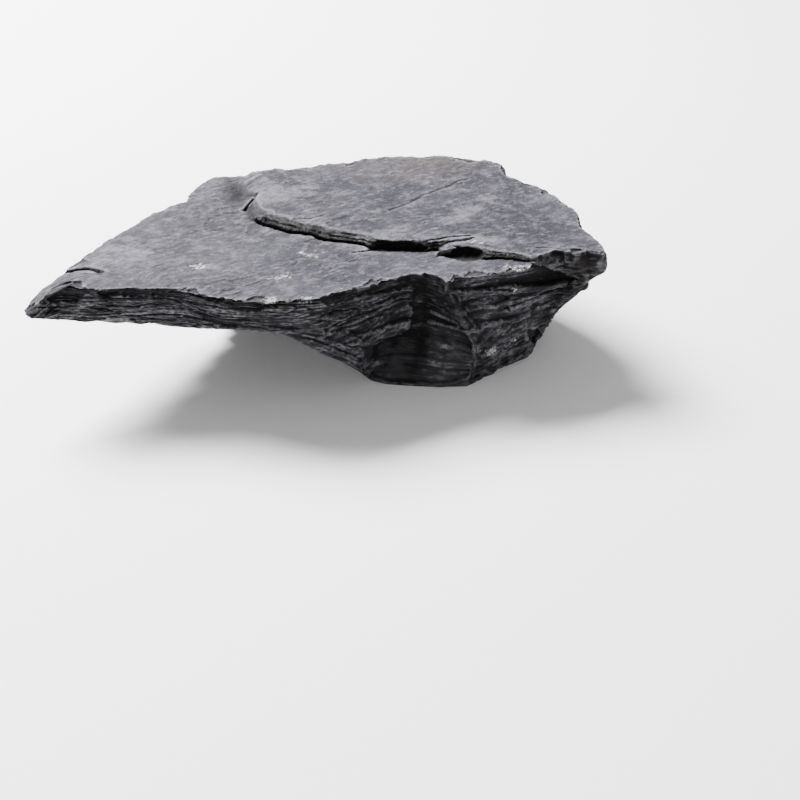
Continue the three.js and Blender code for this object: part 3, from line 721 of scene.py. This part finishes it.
# How far the look of cleavage is lost where a flake is missing, and per millimetre of a crack's depth
FLAKED_LOSS, CRACK_LOSS = 0.55, 1.2
CRACK_SHADE = 1.3  # shade per millimetre of a crack's depth
RIM_CLEAVED = 0.6  # how much the rim itself looks like cleavage
NOSE_CLEAVED = 0.75  # and the left tip, up to NOSE_PLACES profiles away from it and down to NOSE_LEVEL
NOSE_PLACES, NOSE_LEVEL, NOSE_SOFT = 1.2, 2.2, 0.6


def lattice_places():
    """For each node of the lattice seen from above: its place around the slab, how far out it lies from
    the spine, and where on the spine its line starts."""
    i, j = np.meshgrid(np.arange(CELLS_X + 1), np.arange(CELLS_Y + 1), indexing="ij")
    margin = np.minimum(np.minimum(i, CELLS_X - i), np.minimum(j, CELLS_Y - j))
    across_x = (i - margin) / (CELLS_X - 2 * margin)
    across_y = (j - margin) / np.maximum(CELLS_Y - 2 * margin, 1)
    sides = [j == margin, i == CELLS_X - margin, j == CELLS_Y - margin]
    around = np.select(
        sides,
        [
            place_between(0, RIGHT_END, across_x),
            place_between(RIGHT_END, BACK_RIGHT, across_y),
            place_between(BACK_RIGHT, BACK_LEFT, 1 - across_x),
        ],
        place_between(BACK_LEFT, COUNT, 1 - across_y),
    )
    fan = np.select(sides, [across_x, np.ones(i.shape), across_x], 0.0)
    reach = 1 - margin / (CELLS_Y / 2)
    return around, reach, fan


def side_rows():
    """Levels of the rows down the side, close together at each ledge."""
    levels = []
    for top, bottom in zip(BED_EDGES, BED_EDGES[1:]):
        ledge = bottom - (bottom - top) * LEDGE_SHARE
        levels.extend(np.linspace(top, ledge, ROWS_PER_BED - 1))
        levels.append((ledge + bottom) / 2)
    return np.array(levels)


def rim_ring(grid):
    """The lattice's border in order: along the front, up the right, back along the rear, down the left."""
    return np.concatenate([grid[:-1, 0], grid[-1, :-1], grid[:0:-1, -1], grid[0, :0:-1]])


def drawn_in(edge, spine, fan, reach):
    """Points drawn in from the edge towards a line, with how far each has moved."""
    origin = spine[0] + (spine[1] - spine[0]) * fan[:, None]
    out = edge[:, :2] - origin
    points = edge.copy()
    points[:, :2] = origin + out * reach[:, None]
    return points, np.hypot(*out.T) * (1 - reach)


def top_skin(around, reach, fan):
    """Points of the top, with how much each is cleavage and how much in shade."""
    zero = np.zeros_like(around)
    rim = broken_side(around, zero, zero)
    top, from_rim = drawn_in(rim, TOP_SPINE, fan, reach)
    x, y = top[:, 0], top[:, 1]
    top[:, 2] = TOP + (rim[:, 2] - TOP) * reach**3 + swell(x, y) * (1 - reach**6)
    flaked = rim_flake(along_rim(around), from_rim)
    cracks = surface_cracks(x, y)
    top[:, 2] += (top_detail(x, y) + cracks) * (1 - reach**30) - RIM_FLAKE * flaked
    top, rough, shade = lay_sheet(top)
    cleaved = unit(1 - rough - FLAKED_LOSS * flaked + CRACK_LOSS * cracks)
    return top, cleaved, np.maximum(shade, unit(-CRACK_SHADE * cracks))


def cap_quads(border, inner, first, flip):
    """Quads of the top or the underside, whose inner vertices are numbered from the first on."""
    grid = np.full(inner.size, -1)
    grid[inner.ravel()] = first + np.arange(inner.sum())
    grid[rim_ring(np.arange(inner.size).reshape(inner.shape))] = border
    grid = grid.reshape(inner.shape)
    corners = [grid[:-1, :-1], grid[1:, :-1], grid[1:, 1:], grid[:-1, 1:]]
    if flip:
        corners.reverse()
    return np.stack(corners, -1).reshape(-1, 4)


def skin():
    """Vertices and quads of the slab, with how much each vertex is cleavage and how much in shade."""
    around, reach, fan = lattice_places()
    ring = rim_ring(around)
    levels = np.concatenate([side_rows(), FOOT + np.linspace(0, 1, UNDER_ROWS + 1)])
    across, down = len(ring), len(levels)

    # Side
    place = np.repeat(levels, across)
    turn = np.tile(ring, down)
    along = along_rim(turn)
    height = np.where(place > FOOT, tread_height(place, along), place)
    side = broken_side(turn, place, height)
    over = unit(1 - place / 0.3)
    laid, _, _ = lay_sheet(side)
    side[:, 2] += (laid[:, 2] - side[:, 2] - RIM_FLAKE * rim_flake(along, 0)) * over

    # Top and underside
    inside = reach < 1
    around, reach, fan, inner = (values.ravel() for values in (around, reach, fan, inside))
    top, cleaved, shade = top_skin(around, reach, fan)
    last = np.full_like(around, UNDERSIDE)
    base, _ = drawn_in(broken_side(around, last, last), BASE_SPINE, fan, reach)

    # One list of vertices: the side's rows, then the inside of the top, then the inside of the base
    vertices = np.concatenate([side, top[inner], base[inner]])
    none = np.zeros(inner.sum())
    all_along = np.concatenate([along, along_rim(around[inner]), none])
    near_rim = np.concatenate([place < CHIP_LEVEL, reach[inner] > CHIP_REACH, none > 0])
    vertices = chip_rim(vertices, all_along, near_rim)
    nose = NOSE_CLEAVED * step(NOSE_PLACES - np.minimum(turn, COUNT - turn), NOSE_SOFT)
    nose = nose * step(NOSE_LEVEL - place, NOSE_SOFT)
    cleaved = np.concatenate([np.maximum(nose, RIM_CLEAVED * (place == 0)), cleaved[inner], none])
    shade = np.concatenate([np.zeros(len(side)), shade[inner], none])
    rows = np.arange(across * down).reshape(down, across)
    after = np.roll(rows, -1, 1)
    quads = [np.stack([rows[:-1], rows[1:], after[1:], after[:-1]], -1).reshape(-1, 4)]
    quads.append(cap_quads(rows[0], inside, len(side), False))
    quads.append(cap_quads(rows[-1], inside, len(side) + inner.sum(), True))
    return vertices, np.concatenate(quads), cleaved, shade


# The mesh

TRIANGLES = 194_000
BASE_RELIEF = 0.45  # depth of the shallow flakes missing from the resting face
SHARP_ANGLE = 38  # degrees between two facets that still look smooth
SMOOTHED = (3, 8, 16)  # the surface is compared with itself after so many turns of smoothing
PROUD_FULL, SUNK_FULL = 0.6, 0.8  # millimetres above or below the smoothed surface that count in full


def resting_face(vertices):
    """Levels everything under the resting surface, apart from shallow flakes."""
    x, y, z = vertices.T
    flaked = BASE_RELIEF * step(fractal(171, 4, x / 26, y / 17) - 0.25, 0.05)
    z = np.where(z < flaked, flaked, z)
    return np.stack([x, y, z], 1)


def place_object(name, data):
    placed = bpy.data.objects.new(name, data)
    bpy.context.scene.collection.objects.link(placed)
    return placed


def make_mesh(name, vertices, quads):
    mesh = bpy.data.meshes.new(name)
    mesh.vertices.add(len(vertices))
    mesh.vertices.foreach_set("co", vertices.astype(np.float32).ravel())
    mesh.loops.add(quads.size)
    mesh.loops.foreach_set("vertex_index", quads.astype(np.int32).ravel())
    mesh.polygons.add(len(quads))
    mesh.polygons.foreach_set("loop_start", np.arange(0, quads.size, 4, dtype=np.int32))
    mesh.update(calc_edges=True)
    mesh.validate()
    return place_object(name, mesh)


def thin_out(piece, triangles):
    """Collapses the edges that matter least until the mesh has this many triangles."""
    faces = sum(len(p.vertices) - 2 for p in piece.data.polygons)
    modifier = piece.modifiers.new("thin_out", "DECIMATE")
    modifier.ratio = triangles / faces
    modifier.use_collapse_triangulate = True
    graph = bpy.context.evaluated_depsgraph_get()
    mesh = bpy.data.meshes.new_from_object(piece.evaluated_get(graph))
    piece.modifiers.clear()
    piece.data = mesh
    mesh.shade_smooth()
    mesh.set_sharp_from_angle(angle=math.radians(SHARP_ANGLE))


def values_of(items, name, width, kind):
    """One property of all the items, a row for each."""
    values = np.empty(len(items) * width, kind)
    items.foreach_get(name, values)
    return values.reshape(-1, width)


def neighbour_mean(values, edges):
    """Mean of each vertex's neighbours."""
    count = len(values)
    a, b = edges.T
    degree = np.bincount(a, minlength=count) + np.bincount(b, minlength=count)
    columns = []
    for column in values.T:
        total = np.bincount(a, column[b], count) + np.bincount(b, column[a], count)
        columns.append(total / np.maximum(degree, 1))
    return np.stack(columns, 1)


def mark_finish(piece, cleaved, shade):
    """Stores how far each place stands proud, how much it is cleavage, and its painted shade in hollows and
    in the shade of edges and cracks, for the finish.
    """
    mesh = piece.data
    vertices = values_of(mesh.vertices, "co", 3, np.float32).astype(float)
    normals = values_of(mesh.vertex_normals, "vector", 3, np.float32).astype(float)
    edges = values_of(mesh.edges, "vertices", 2, np.int32)
    smooth = vertices
    proud = np.zeros(len(vertices))
    for turn in range(1, SMOOTHED[-1] + 1):
        smooth = neighbour_mean(smooth, edges)
        if turn in SMOOTHED:
            proud += np.einsum("ij,ij->i", vertices - smooth, normals) / MM
    level = neighbour_mean(neighbour_mean(normals, edges), edges)[:, 2]
    below = vertices[:, 2] < (TOP - 2) * MM
    flat_parts = 0.3 * unit((np.abs(level) - 0.8) / 0.15) * below
    # Broken places on the top get some painted shade too
    shade = np.maximum(shade, 0.35 * (1 - cleaved) * ~below)
    marks = {
        "proud": unit(proud / PROUD_FULL),
        "sunk_shade": np.maximum(unit(-proud / SUNK_FULL), shade),
        "cleaved": np.maximum(cleaved, flat_parts),
    }
    for name, values in marks.items():
        attribute = mesh.attributes.new(name, "FLOAT", "POINT")
        attribute.data.foreach_set("value", values.astype(np.float32))


def make_slab():
    vertices, quads, cleaved, shade = skin()
    vertices = vertices - np.array([*EXTENT_CENTRE, 0])
    vertices = resting_face(vertices) * MM
    piece = make_mesh("slate_slab_stone", vertices, quads)
    mark_finish(piece, cleaved, shade)
    thin_out(piece, TRIANGLES)
    return piece


# The finish


class Nodes:
    """Short forms for building a material's nodes."""

    def __init__(self, tree):
        self.tree = tree
        self.place = tree.nodes.new("ShaderNodeTexCoord").outputs["Object"]

    def add(self, kind, inputs=(), **settings):
        node = self.tree.nodes.new(kind)
        for name, value in settings.items():
            setattr(node, name, value)
        for key, value in dict(inputs).items():
            if isinstance(value, bpy.types.NodeSocket):
                self.tree.links.new(value, node.inputs[key])
            else:
                node.inputs[key].default_value = value
        return node

    def placed(self, middle, sizes, turn):
        """Coordinates from a middle, in units of these sizes in millimetres, turned about the vertical."""
        inputs = {
            "Vector": self.place,
            "Location": [m * MM for m in middle],
            "Rotation": (0, 0, math.radians(turn)),
            "Scale": [size * MM for size in sizes],
        }
        return self.add("ShaderNodeMapping", inputs, vector_type="TEXTURE").outputs[0]

    def noise(self, wavelength, detail=4, rough=0.55, stretch=(1, 1, 1), turn=0, shift=0, distortion=0):
        """Noise from 0 to 1; the wavelength is in millimetres and stretch lengthens it along x, y, z."""
        place = self.placed((shift, 2 * shift, 0), [wavelength * s for s in stretch], turn)
        inputs = {"Vector": place, "Scale": 1.0, "Detail": detail, "Roughness": rough}
        inputs["Distortion"] = distortion
        return self.add("ShaderNodeTexNoise", inputs).outputs["Fac"]

    def mark(self, name):
        return self.add("ShaderNodeAttribute", attribute_name=name).outputs["Fac"]

    def remap(self, value, low, high, to_low=0.0, to_high=1.0):
        inputs = {"Value": value, "From Min": low, "From Max": high, "To Min": to_low, "To Max": to_high}
        return self.add("ShaderNodeMapRange", inputs).outputs[0]

    def math(self, operation, a, b, clamp=False):
        return self.add("ShaderNodeMath", {0: a, 1: b}, operation=operation, use_clamp=clamp).outputs[0]

    def times(self, a, b):
        return self.math("MULTIPLY", a, b)

    def plus(self, a, b):
        return self.math("ADD", a, b)

    def mix(self, share, a, b):
        inputs = {0: share, 6: a, 7: b}
        return self.add("ShaderNodeMix", inputs, data_type="RGBA", clamp_factor=True).outputs[2]

    def coats(self, colour, *layers):
        """Lays colours over a first one, each where its value, remapped as the layer says, is high."""
        for paint, value, *steps in layers:
            colour = self.mix(self.remap(value, *steps), colour, paint)
        return colour

    def blot(self, centre, radii, turn=0):
        """1 at a place given in millimetres, falling to 0 at these distances from it along x, y, z."""
        inputs = {"Vector": self.placed(centre, radii, turn)}
        return self.add("ShaderNodeTexGradient", inputs, gradient_type="SPHERICAL").outputs["Fac"]

    def patches(self, marks):
        """Greatest of several blots."""
        most = self.blot(*marks[0])
        for mark in marks[1:]:
            most = self.math("MAXIMUM", most, self.blot(*mark))
        return most


# Colours, as linear red, green, blue and alpha
BLACK = (0.004, 0.004, 0.0044, 1)
DARK = (0.013, 0.0128, 0.0143, 1)
CHARCOAL = (0.030, 0.0295, 0.0323, 1)
WORN = (0.175, 0.172, 0.183, 1)  # edges of broken sheets
SHADE = (0.018, 0.0174, 0.0208, 1)
SLATE = (0.026, 0.0246, 0.0335, 1)
CLEAVED = (0.054, 0.0520, 0.0660, 1)
PALE = (0.150, 0.1465, 0.1680, 1)
WHITE = (0.6, 0.6, 0.61, 1)
BROWN = (0.068, 0.055, 0.050, 1)
RUST = (0.036, 0.029, 0.026, 1)

# Marks on the surface: their middles, reach along x, y and z, and turn about the vertical
WHITE_PATCHES = [
    ((54.3, -32, 11.8), (4.5, 7, 2.6)), ((63, -25, 12), (4.5, 6, 2)), ((62, -34.5, 42), (4.5, 2.5, 1.5)),
    ((61, -31, 32.8), (1.8, 4, 2)), ((-14, -57, 41.5), (4.5, 3, 2)), ((-3, -56.5, 41.5), (4, 3, 2)),
]
STROKE_PATCHES = [
    ((-4, -23.5, 42), (10, 4.5, 8), -18), ((-38, -33, 42), (9, 6, 8), 20), ((46, -17, 44), (9, 3, 8), -10),
    ((60, -33, 42), (10, 3, 3)), ((-12, -40, 42), (9, 5, 8), 30),
]
# Paler patches on the broken sides: dusty, worn places, and along the low strip below the middle painted
# light where little light reaches it
PALE_SIDE_PATCHES = [
    ((-70, -48.5, 38), (5, 6, 3)), ((16, -42, 33.7), (11, 8, 3.5)), ((10.5, -42, 14), (4.5, 8, 5)),
    ((-21, -51, 28.3), (27, 8, 1.6)), ((52, -34, 25), (6, 6, 3)), ((58, -30, 10), (9, 9, 6)),
    ((2, -48, 21), (12, 8, 2)), ((21, -36, 21.5), (8, 8, 2)), ((-27, -52, 38), (10, 8, 2.5)),
]
# Painted shade on the broken sides: under the rim, in the notch, in the recess under the right rim and in
# gaps
SIDE_SHADE_PATCHES = [
    ((73, -26, 32.5), (14, 14, 6)), ((31, -33, 32), (4.5, 10, 12)), ((8, -50, 39.6), (9, 8, 2.4)),
    ((18, -44.5, 39.3), (9, 8, 2.8)), ((27, -39, 39), (7, 8, 3.2)), ((18, -43, 30.3), (13, 8, 1.6)),
    ((57, -29, 27), (3, 6, 2.5)),
]
# Pale patches of the top: pale hazy film, and at the left of the top painted sheen
HAZE_AND_SHEEN_PATCHES = [
    ((47, 8, 44), (6, 23, 8), -28), ((-14, 22, 44), (19, 14, 8), 20), ((-62, -22, 42), (16, 20, 9), 20),
    ((52, -16, 44), (18, 5, 8)), ((20, -14, 44), (16, 6, 8), 10),
]
# Painted shade on the top: in front of the upper sheet's broken edge and in broad patches over the upper
# sheet
TOP_SHADE_PATCHES = [
    ((8, -32, 42), (30, 17, 9), -10), ((66, -8, 44), (28, 30, 9)), ((22, 18, 44), (14, 24, 9)),
]


def slate_material():
    material = bpy.data.materials.new("slate")
    material.use_nodes = True
    tree = material.node_tree
    tree.nodes.clear()
    n = Nodes(tree)
    proud, sunk_shade, cleavage = n.mark("proud"), n.mark("sunk_shade"), n.mark("cleaved")

    # Broken sides: dark, with paler edges of thin sheets
    sheets = n.noise(5.5, detail=7, rough=0.72, stretch=(1.5, 1, 0.16), distortion=0.9)
    grain = n.noise(0.55, detail=4, rough=0.7)
    gloom = n.noise(7, detail=5, rough=0.6, stretch=(2.5, 1, 0.35), shift=41)
    broken = n.coats(
        BLACK, (DARK, sheets, 0.3, 0.55), (CHARCOAL, sheets, 0.5, 0.66, 0, 0.9),
        (CLEAVED, grain, 0.58, 0.75, 0, 0.5), (BLACK, gloom, 0.34, 0.48, 0.85, 0),
    )
    dust_and_light = n.noise(9, detail=6, rough=0.65, stretch=(2, 1, 0.5))
    # Pale dusty wear, with painted light along the low strip below the middle
    dust_and_light = n.plus(dust_and_light, n.times(n.patches(PALE_SIDE_PATCHES), 0.3))
    grit = n.remap(n.noise(0.8, detail=4, rough=0.75, stretch=(2, 1, 0.7)), 0.44, 0.6)
    broken = n.mix(n.times(n.remap(dust_and_light, 0.5, 0.66), grit), broken, PALE)
    # Painted fill light: the scoop, shaded by the overhang, is lifted to an even charcoal
    scoop = n.times(n.blot((32, -33, 9), (24, 16, 20)), 1.6)
    broken = n.mix(n.math("MINIMUM", scoop, 0.92), broken, CHARCOAL)
    # Painted shade of those patches, laid on the broken sides below
    dark = n.remap(n.patches(SIDE_SHADE_PATCHES), 0.15, 0.5, 0, 0.85)

    # Cleavage surfaces: grey with cloudy, hazy tone, mottled and finely speckled, with painted sheen in pale
    # patches and painted shade in dim ones
    haze_and_shade = n.noise(30, detail=7, rough=0.62, stretch=(1.5, 1, 1), turn=32)
    cloud = n.noise(6, detail=7, rough=0.72, shift=11)
    # Pale hazy patches, with painted sheen at the left of the top
    pale = n.plus(cloud, n.times(n.patches(HAZE_AND_SHEEN_PATCHES), 0.22))
    # Painted shade taken off the paler tone in front of the broken edge and over the upper sheet
    haze_and_shade = n.math("SUBTRACT", haze_and_shade, n.times(n.patches(TOP_SHADE_PATCHES), 0.2))
    mottle = n.noise(1.7, detail=6, rough=0.72, stretch=(1.5, 1, 1), turn=30, shift=23)
    cleaved = n.coats(
        SLATE, (CLEAVED, haze_and_shade, 0.36, 0.64), (PALE, pale, 0.5, 0.74, 0, 0.8),
        (SHADE, cloud, 0.26, 0.47, 0.8, 0), (SHADE, grain, 0.3, 0.5, 0.6, 0),
        (SHADE, mottle, 0.3, 0.5, 0.75, 0), (PALE, mottle, 0.54, 0.7, 0, 0.75),
    )
    brown = n.times(n.blot((32, 52, 44), (44, 22, 30)), n.remap(n.noise(13, detail=5), 0.3, 0.6))
    cleaved = n.mix(brown, cleaved, BROWN)
    # Painted shade along the groove between the hump and the upper sheet
    groove = n.times(n.blot((-31, 27, 43), (6, 15, 9), 20), 1.3)
    cleaved = n.mix(groove, cleaved, SHADE)
    colour = n.mix(cleavage, broken, cleaved)
    rusty = n.times(n.blot((88, -20, 35), (16, 14, 10)), n.remap(n.noise(2.5, detail=5), 0.35, 0.6))
    colour = n.mix(rusty, colour, RUST)

    # Wear and painted shade: pale worn edges, painted shade in gaps, hollows and under the rim, white specks
    # and strokes in clusters
    ragged = n.remap(n.noise(1.3, detail=5, rough=0.7), 0.38, 0.6, 0.1, 1.0)
    worn = n.remap(n.noise(8, detail=5, rough=0.6, stretch=(1.8, 1, 0.6), shift=31), 0.42, 0.58, 0.2, 1)
    ragged = n.times(ragged, n.math("MAXIMUM", worn, cleavage))
    edges = n.mix(cleavage, WORN, PALE)
    colour = n.mix(n.times(n.remap(proud, 0.1, 0.7, 0, 0.95), ragged), colour, edges)
    # Painted shade: black in the patches under the rim, in the notch and in gaps
    colour = n.mix(n.times(dark, n.math("SUBTRACT", 1.0, cleavage, clamp=True)), colour, BLACK)
    # Painted shade: black in hollows and gaps, and where the upper sheet's edge and the cracks lie in shade
    colour = n.coats(colour, (BLACK, sunk_shade, 0.1, 0.8, 0, 0.88))
    specks = n.plus(n.noise(0.9, detail=4, rough=0.7), n.times(n.patches(WHITE_PATCHES), 0.36))
    streaks = n.noise(1.5, detail=5, rough=0.7, stretch=(2, 1, 1), turn=28, shift=5, distortion=1.5)
    streaks = n.plus(streaks, n.times(n.patches(STROKE_PATCHES), 0.2))
    white = n.math("MAXIMUM", n.remap(specks, 0.7, 0.78), n.remap(streaks, 0.69, 0.75))
    white = n.times(white, 0.65)
    colour = n.mix(white, colour, WHITE)

    # Relief too fine for the mesh
    wrinkle = n.noise(2.6, detail=6, rough=0.68, stretch=(2.2, 1, 1), turn=35)
    fine = n.plus(n.times(grain, 0.25), n.times(wrinkle, 0.9))
    coarse = n.plus(sheets, n.times(grain, 0.6))
    height = n.add("ShaderNodeMix", {0: cleavage, 2: coarse, 3: fine}).outputs[0]
    bump = n.add("ShaderNodeBump", {"Height": height, "Strength": 1.0, "Distance": 0.0015})

    roughness = n.remap(n.noise(3, detail=5), 0.3, 0.7, 0.48, 0.7)
    inputs = {"Base Color": colour, "Roughness": roughness, "Normal": bump.outputs[0]}
    shader = n.add("ShaderNodeBsdfPrincipled", inputs)
    shader.inputs["Specular IOR Level"].default_value = 0.1
    n.add("ShaderNodeOutputMaterial", {"Surface": shader.outputs[0]})
    return material


# Setting

FLOOR_HALF = 3.0  # metres from its middle to its edge


def make_floor():
    mesh = bpy.data.meshes.new("floor")
    corners = [(x, y, 0) for x, y in ((-1, -1), (1, -1), (1, 1), (-1, 1))]
    mesh.from_pydata([[FLOOR_HALF * c for c in corner] for corner in corners], [], [(0, 1, 2, 3)])
    material = bpy.data.materials.new("pale_floor")
    material.use_nodes = True
    shader = material.node_tree.nodes["Principled BSDF"]
    shader.inputs["Base Color"].default_value = (0.86, 0.86, 0.87, 1)
    shader.inputs["Roughness"].default_value = 0.7
    mesh.materials.append(material)
    floor = place_object("floor", mesh)


def add_light(name, place, aim, size, power):
    light = bpy.data.lights.new(name, "AREA")
    light.shape = "RECTANGLE"
    light.size, light.size_y = size
    light.energy = power
    lamp = place_object(name, light)
    lamp.location = place
    lamp.rotation_euler = (Vector(aim) - Vector(place)).to_track_quat("-Z", "Y").to_euler()


def make_lights():
    add_light("top_softbox", (-0.5, 0.55, 0.8), (0, 0, 0.03), (0.6, 0.5), 88)
    add_light("low_fill", (0.15, -0.8, 0.12), (0.03, -0.03, 0.02), (0.5, 0.3), 5.5)
    world = bpy.data.worlds.new("soft_surround")
    world.use_nodes = True
    background = world.node_tree.nodes["Background"]
    background.inputs["Color"].default_value = (1, 1, 1, 1)
    background.inputs["Strength"].default_value = 0.5
    bpy.context.scene.world = world


CAMERA_PLACE = (24.86, -573.16, 282.1)
CAMERA_TILT = 62  # degrees up from straight down


def make_camera():
    data = bpy.data.cameras.new("camera")
    data.lens = 85
    data.sensor_width = 36
    camera = place_object("camera", data)
    camera.location = [c * MM for c in CAMERA_PLACE]
    camera.rotation_euler = (math.radians(CAMERA_TILT), 0, 0)
    bpy.context.scene.camera = camera


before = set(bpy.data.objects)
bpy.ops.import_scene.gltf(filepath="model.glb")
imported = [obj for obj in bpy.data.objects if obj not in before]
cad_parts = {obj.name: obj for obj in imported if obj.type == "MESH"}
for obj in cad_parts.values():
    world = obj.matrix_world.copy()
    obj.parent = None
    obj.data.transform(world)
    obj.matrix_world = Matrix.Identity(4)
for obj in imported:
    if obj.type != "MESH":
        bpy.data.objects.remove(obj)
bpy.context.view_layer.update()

make_camera()
slab = make_slab()
slab.data.materials.append(slate_material())
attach(slab, "root")
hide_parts("slate_slab")
make_floor()
make_lights()
